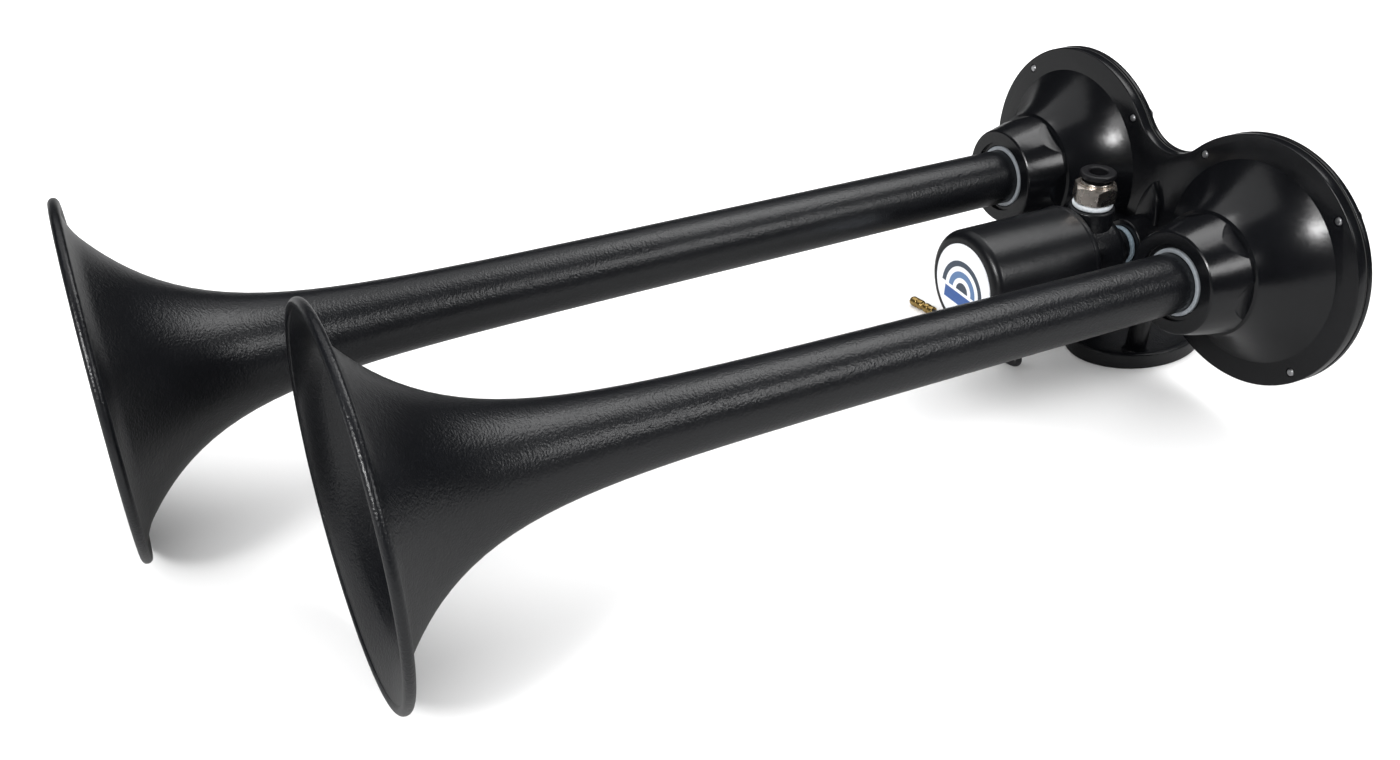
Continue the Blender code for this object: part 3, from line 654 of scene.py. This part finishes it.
low, high, first = seat("cover_screw_1")
screw = turn("pan_screw_1", [
    (0.0, -low.y), (0.0013, -low.y, 0.0003), (0.00175, -low.y - 0.0006),
    (0.00175, -high.y + 0.0022), (0.0036, -high.y + 0.0022, 0.0002),
    (0.0036, -high.y + 0.0012, 0.0006), (0.0024, -high.y, 0.0008), (0.0, -high.y)],
    first, steps=48)
boolean(screw, "DIFFERENCE", [
    block((first.x, high.y, first.z), size)
    for size in ((0.0030, 0.0024, 0.0008), (0.0008, 0.0024, 0.0030))], CREASE)
screws = [screw]
for i in range(2, 9):
    place = seat(f"cover_screw_{i}")[2]
    bpy.ops.object.select_all(action="DESELECT")
    screw.select_set(True)
    bpy.context.view_layer.objects.active = screw
    bpy.ops.object.duplicate(linked=False)
    twin = bpy.context.object
    twin.name = twin.data.name = f"pan_screw_{i}"
    bpy.ops.transform.rotate(value=math.radians(37 * i), orient_axis="Y",
                             center_override=first)
    bpy.ops.transform.translate(value=place - first)
    bpy.ops.object.transform_apply(location=True, rotation=True, scale=True)
    screws.append(twin)
for i, piece in enumerate(screws, 1):
    fit(piece, "horn", [f"cover_screw_{i}"], zinc)

# ---------------------------------------------------------------- diaphragms
# A spring steel disc rests on each throat's rim inside the housing, held round its edge by a
# rubber clamp ring. Both are plain discs, and nothing of them shows from outside.
spring_steel = Finish("spring_steel", (0.46, 0.47, 0.49), 0.32, 1.0)
rolled = spring_steel.noise(1.0, 3.0, spring_steel.stretched((160.0, 900.0, 2400.0)))
spring_steel.feed(Roughness=0.26 + 0.18 * rolled, **{
    "Base Color": spring_steel.between(rolled, (0.42, 0.43, 0.45), (0.56, 0.57, 0.60))})
spring_steel.relief(rolled, 0.00001)
for side_name in SIDES:
    spring_steel.wear(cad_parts[f"{side_name}_diaphragm"])
    rubber.wear(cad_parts[f"{side_name}_clamp_ring"])

# ---------------------------------------------------------------- mounting foot
# An oval die-cast dish, powder coated, carries the housing on two posts. A screw comes up
# through each post from below.
FOOT_HALF = (0.0265, 0.0365)
FOOT_Y = 0.0070
FOOT_HEIGHT = 0.0080
RIM = 0.0035
DISH_FLOOR = 0.0032

low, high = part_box("mounting_foot")
angles = [math.radians(a) for a in range(0, 360, 4)]
points = [(FOOT_HALF[0] * math.cos(a), FOOT_Y + FOOT_HALF[1] * math.sin(a), 0.0)
          for a in angles]
foot = draw("oval_foot", [*points, points[0]])
bpy.ops.mesh.edge_face_add()
bpy.ops.mesh.extrude_region_move(TRANSFORM_OT_translate={"value": (0.0, 0.0, FOOT_HEIGHT)})
bpy.ops.mesh.select_all(action="SELECT")
bpy.ops.mesh.normals_make_consistent(inside=False)
pick(foot, "faces", lambda f: f.calc_center_median().z > FOOT_HEIGHT - 1e-5)
bpy.ops.mesh.inset(thickness=RIM)
bpy.ops.mesh.extrude_region_move(
    TRANSFORM_OT_translate={"value": (0.0, 0.0, DISH_FLOOR - FOOT_HEIGHT)})
pick(foot, "edges", lambda e: len(e.link_faces) == 2 and e.calc_face_angle(0.0) > 1.0)
bpy.ops.mesh.bevel(offset=0.0008, segments=5, affect="EDGES")
finish_mesh(foot)
posts = []
holes = []
for side in (1, -1):
    spot = (side * FOOT_POST_X, FOOT_POST_Y, 0.0)
    posts.append(turn("post", [
        (0.0, high.z), (FOOT_POST, high.z, 0.0004), (FOOT_POST, 0.0060),
        *curve((FOOT_POST, 0.0055), (0.0051, 0.0036), (0.0068, 0.0033), 6), (0.0068, 0.0020),
        (0.0, 0.0020)], spot, UP, 48))
    holes.append(rod("post_bore", FOOT_BORE, (spot[0], spot[1], -0.002),
                     (spot[0], spot[1], high.z + 0.002), 24))
    holes.append(rod("post_well", 0.0042, (spot[0], spot[1], -0.002),
                     (spot[0], spot[1], 0.0026), 32))
boolean(foot, "UNION", posts)
boolean(foot, "DIFFERENCE", holes, CREASE)
fit(foot, "horn", ["mounting_foot"], powder_coat)

for side_name in SIDES:
    low, high, spot = seat(f"{side_name}_foot_screw", UP)
    bolt = turn(f"{side_name}_foot_bolt", [
        (0.0, high.z), (0.0016, high.z, 0.0003), (0.0020, high.z - 0.0008), (0.0020, 0.0023),
        (0.0038, 0.0023, 0.0002), (0.0038, 0.0010, 0.0005), (0.0028, low.z, 0.0003),
        (0.0, low.z)], spot, UP, 48)
    boolean(bolt, "DIFFERENCE", [
        block((spot.x, spot.y, low.z), size)
        for size in ((0.0032, 0.0009, 0.0024), (0.0009, 0.0032, 0.0024))], CREASE)
    fit(bolt, "horn", [f"{side_name}_foot_screw"], zinc)

# ---------------------------------------------------------------- valve body and nipple
# A turned and coated valve body with a tower for the hose fitting. A nipple screws it to the
# housing's inlet boss, with oil-stained thread sealant squeezed out round its end.
INLET_Y = -0.037
TOWER_TOP = 0.0093
body = turn("valve_barrel", [
    (0.0, 0.0472), (0.0195, 0.0472, 0.0005), (0.0195, 0.0300, 0.0010),
    (0.0180, 0.0268, 0.0008), (0.0, 0.0268)], (0.0, 0.0, VALVE_Z), steps=96)
tower = turn("inlet_tower", [
    (0.0, AXIS_Z + TOWER_TOP), (0.0105, AXIS_Z + TOWER_TOP, 0.0010), (0.0105, VALVE_Z),
    (0.0, VALVE_Z)], (0.0, INLET_Y, 0.0), UP, 72)
boolean(body, "UNION", [tower])
boolean(body, "DIFFERENCE", [
    turn("valve_chamber", [
        (0.0, 0.0490), (0.0155, 0.0490), (0.0155, 0.0420), (0.0130, 0.0420), (0.0130, 0.0330),
        (0.0078, 0.0330), (0.0078, 0.0370), (0.0, 0.0370)], (0.0, 0.0, VALVE_Z), steps=64),
    turn("outlet_bore", [
        (0.0, 0.0380), (0.0054, 0.0380), (0.0054, 0.0315), (0.0087, 0.0315),
        (0.0087, 0.0250), (0.0, 0.0250)], (0.0, 0.0, VALVE_Z), steps=48),
    rod("inlet_port", 0.0081, (0.0, INLET_Y, AXIS_Z - 0.0012),
        (0.0, INLET_Y, AXIS_Z + TOWER_TOP + 0.0020)),
    rod("inlet_passage", 0.0036, (0.0, INLET_Y, VALVE_Z + 0.0100), (0.0, INLET_Y, AXIS_Z), 32),
], 24.0)
fit(body, "horn", ["valve_body"], powder_coat)

low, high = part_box("valve_nipple")
nipple = turn("outlet_nipple", [
    (0.0056, -high.y), (0.0056, -low.y, 0.0004), (0.0084, -low.y, 0.0006),
    (0.0084, 0.0236), (0.0080, 0.0232), (0.0080, 0.0226), (0.0084, 0.0222),
    (0.0084, -high.y, 0.0006)], (0.0, 0.0, VALVE_Z), steps=64)
fit(nipple, "horn", ["valve_nipple"], powder_coat)

tape = Finish("thread_tape", (0.80, 0.81, 0.82), 0.55)
wisp = tape.noise(700.0, 4.0)
tape.feed(Roughness=0.45 + 0.25 * wisp, **{
    "Base Color": tape.between(wisp, (0.36, 0.42, 0.47), (0.86, 0.87, 0.88))})
tape.relief(wisp, 0.00030)
oiled_tape = Finish("oiled_thread_tape", (0.20, 0.25, 0.30), 0.40)
oil = oiled_tape.noise(900.0, 4.0)
oiled_tape.feed(Roughness=0.30 + 0.30 * oil, **{
    "Base Color": oiled_tape.between(oil, (0.05, 0.08, 0.10), (0.30, 0.37, 0.43))})
oiled_tape.relief(oil, 0.00030)
low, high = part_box("nipple_sealant")
sealant = turn("nipple_tape", [
    (0.0086, -low.y), (0.0091, -low.y, 0.0002), (0.0097, -low.y - 0.0012, 0.0006),
    (0.0093, -high.y, 0.0003), (0.0086, -high.y)], (0.0, 0.0, VALVE_Z), steps=64)
fit(sealant, "horn", ["nipple_sealant"], oiled_tape)

# ---------------------------------------------------------------- coil can and label
# A deep-drawn steel can with a rounded front edge and a rolled rear seam covers the coil. A
# round white label with a plain sound-wave device is stuck on its end.
COIL_RADIUS = 0.0255
COIL_BACK = 0.0475
COIL_FRONT = 0.1044
CAN_WALL = 0.0022
CAN_CORNER = 0.0042

can = turn("drawn_can", [
    (0.0, COIL_FRONT), *[(COIL_RADIUS - CAN_CORNER + CAN_CORNER * math.sin(math.radians(a)),
                          COIL_FRONT - CAN_CORNER + CAN_CORNER * math.cos(math.radians(a)))
                         for a in range(0, 91, 9)],
    (COIL_RADIUS, COIL_BACK + 0.0030, 0.0003), (COIL_RADIUS + 0.0004, COIL_BACK + 0.0023, 0.0003),
    (COIL_RADIUS + 0.0004, COIL_BACK + 0.0005, 0.0004), (COIL_RADIUS - 0.0003, COIL_BACK, 0.0002),
    (COIL_RADIUS - CAN_WALL, COIL_BACK), (COIL_RADIUS - CAN_WALL, COIL_FRONT - CAN_CORNER),
    (COIL_RADIUS - CAN_CORNER, COIL_FRONT - CAN_WALL), (0.0, COIL_FRONT - CAN_WALL)],
    (0.0, 0.0, VALVE_Z), steps=128)
exit_y = seat("lead_grommet", UP)[2].y
boolean(can, "DIFFERENCE", [rod("lead_hole", 0.0048, (0.0, exit_y, VALVE_Z - 0.030),
                                (0.0, exit_y, VALVE_Z - 0.018), 32)], CREASE)
can_paint = Finish("can_paint", (0.004, 0.004, 0.005), 0.28)
can_flow = can_paint.noise(60.0, 3.0)
dust = (can_paint.cells(260.0) < 0.045) * (can_paint.noise(60.0) > 0.56)
can_paint.feed(Roughness=0.27 + 0.10 * can_flow + 0.3 * dust, **{
    "Base Color": can_paint.between(0.35 * dust, (0.0035, 0.0038, 0.0048), (0.30, 0.31, 0.33))})
can_paint.relief(can_paint.noise(800.0, 2.0) + 1.5 * can_paint.noise(150.0, 1.0), 0.00005)
fit(can, "horn", ["coil_can"], can_paint)

low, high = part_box("coil_label")
label_radius = (high.x - low.x) / 2
label = turn("round_label", [
    (0.0, -low.y), (label_radius, -low.y, 0.00015), (label_radius, -high.y - 0.0002),
    (0.0, -high.y - 0.0002)], (0.0, 0.0, VALVE_Z), steps=96)
printed = Finish("printed_label", (0.80, 0.82, 0.85), 0.32)
across = printed.axis("X") / label_radius
up = (printed.axis("Z") - VALVE_Z) / label_radius
wave_up = up + 0.18
wave = (across * across + wave_up * wave_up) ** 0.5
above = wave_up > 0.0


def band(value, low_edge, high_edge):
    return (value > low_edge) * (value < high_edge)


bar = band(up, -0.56, -0.26) * band(across, -0.62, 0.62)
navy = (band(wave, 0.62, 0.76) + band(wave, 0.0, 0.22)) * above
blue = band(wave, 0.34, 0.50) * above
base = printed.between(navy, (0.80, 0.82, 0.85), (0.045, 0.060, 0.085))
base = printed.between(blue, base, (0.10, 0.18, 0.34))
base = printed.between(bar, base, (0.040, 0.100, 0.300))
printed.feed(Roughness=0.26 + 0.12 * printed.noise(500.0), **{"Base Color": base})
printed.relief(printed.noise(1200.0), 0.00002)
fit(label, "horn", ["coil_label"], printed)

# ---------------------------------------------------------------- inside the valve and coil
# Steel core tube, fixed core and sliding plunger with its rubber seat, inside a wound plastic
# bobbin. All are hidden and keep their machined shapes. The return spring shortens with the
# plunger.
bare_steel = Finish("machined_steel", (0.56, 0.57, 0.58), 0.28, 1.0)
tool_marks = bare_steel.noise(1.0, 2.0, bare_steel.stretched((60.0, 5200.0, 60.0)))
bare_steel.feed(Roughness=0.20 + 0.20 * tool_marks, **{
    "Base Color": bare_steel.between(tool_marks, (0.50, 0.51, 0.52), (0.64, 0.65, 0.66))})
bare_steel.relief(tool_marks, 0.00001)

moulding = Finish("black_moulding", (0.014, 0.014, 0.015), 0.34)
mould_grain = moulding.noise(1300.0, 2.0)
moulding.feed(Roughness=0.26 + 0.16 * moulding.noise(200.0), **{
    "Base Color": moulding.between(mould_grain, (0.004, 0.004, 0.005), (0.008, 0.008, 0.009))})
moulding.relief(mould_grain, 0.00003)

winding = Finish("copper_winding", (0.72, 0.34, 0.18), 0.30, 1.0)
turns = winding.node("ShaderNodeTexWave", {"bands_direction": "Y"},
                     {"Vector": winding.place, "Scale": 800.0, "Distortion": 0.3}, "Fac")
winding.feed(Roughness=0.24 + 0.20 * turns, **{
    "Base Color": winding.between(turns, (0.42, 0.16, 0.07), (0.80, 0.40, 0.22))})
winding.relief(turns, 0.00015)

for finish, nodes in (
        (bare_steel, ("plunger", "core_tube", "fixed_core", "coil_base_plate")),
        (spring_steel, ("plunger_spring", "grab_ring")),
        (rubber, ("plunger_seal", "valve_o_ring", "fitting_o_ring")),
        (moulding, ("coil_bobbin",)),
        (winding, ("coil_winding",))):
    for node in nodes:
        finish.wear(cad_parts[node])

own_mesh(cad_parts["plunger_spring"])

# ---------------------------------------------------------------- hose fitting
# A nickel-plated push-in fitting screws down into the valve's tower on white thread tape. Its
# black collar presses down to let the hose go.
INLET = (0.0, INLET_Y, AXIS_Z)
HEX_TURN = math.radians(27.5)
HEX_RADIUS = 0.0101
HEX_TOP = 0.0206
HEX_BOTTOM = 0.0128
nickel = Finish("nickel_plate", (0.85, 0.78, 0.70), 0.24, 1.0)
haze = nickel.noise(300.0, 3.0)
spin_marks = nickel.noise(1.0, 2.0, nickel.stretched((40.0, 40.0, 6000.0)))
nickel.feed(Roughness=0.20 + 0.16 * haze, **{
    "Base Color": nickel.between(haze, (0.92, 0.85, 0.78), (0.76, 0.68, 0.61))})
nickel.relief(spin_marks, 0.00001)

fitting = turn("push_fitting", [
    (0.0, 0.0225), (0.0071, 0.0225, 0.0002), (0.0074, 0.0221, 0.0002), (0.0074, 0.0216),
    (0.0071, 0.0214), (0.0071, 0.0212), (0.0082, 0.0211, 0.0003), (0.0083, 0.0205),
    (0.0083, 0.0150), (0.0085, 0.0125), (0.0077, 0.0122), (0.0077, -0.0009), (0.0, -0.0009)],
    INLET, UP, 72)
hexagon = turn("wrench_hex", [
    (0.0, HEX_TOP), (HEX_RADIUS, HEX_TOP), (HEX_RADIUS, HEX_BOTTOM), (0.0, HEX_BOTTOM)],
    INLET, UP, 6)
# Without a window this turns the other way, hence the minus.
bpy.ops.transform.rotate(value=-HEX_TURN, orient_axis="Z", center_override=INLET)
bpy.ops.object.transform_apply(location=True, rotation=True, scale=True)
chamfer = turn("hex_chamfer", [
    (0.0, HEX_TOP), (0.0087, HEX_TOP), (0.0102, 0.0194), (0.0102, 0.0134),
    (0.0094, HEX_BOTTOM), (0.0, HEX_BOTTOM)], INLET, UP, 96)
boolean(hexagon, "INTERSECT", [chamfer])
boolean(fitting, "UNION", [hexagon])
boolean(fitting, "DIFFERENCE", [turn("hose_bore", [
    (0.0, 0.0230), (0.0068, 0.0230), (0.0068, 0.0090), (0.0034, 0.0090), (0.0034, -0.0040),
    (0.0, -0.0040)], INLET, UP, 64)], 24.0)
fit(fitting, "horn", ["fitting_body"], nickel)

low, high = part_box("fitting_sealant")
tape_ring = turn("fitting_tape", [
    (0.0078, high.z - AXIS_Z), (0.0086, high.z - AXIS_Z, 0.0002), (0.0092, 0.0107, 0.0006),
    (0.0088, low.z - AXIS_Z, 0.0003), (0.0078, low.z - AXIS_Z)], INLET, UP, 64)
fit(tape_ring, "horn", ["fitting_sealant"], tape)

collar = turn("release_ring", [
    (0.0041, 0.0146), (0.0041, 0.0262), (0.0046, 0.0267, 0.0002), (0.0076, 0.0267, 0.0004),
    (0.0080, 0.0262), (0.0080, 0.0243, 0.0003), (0.0066, 0.0241), (0.0061, 0.0232, 0.0003),
    (0.0056, 0.0228), (0.0056, 0.0146)], INLET, UP, 72)
fit(collar, "collar_group", ["release_collar"], moulding)
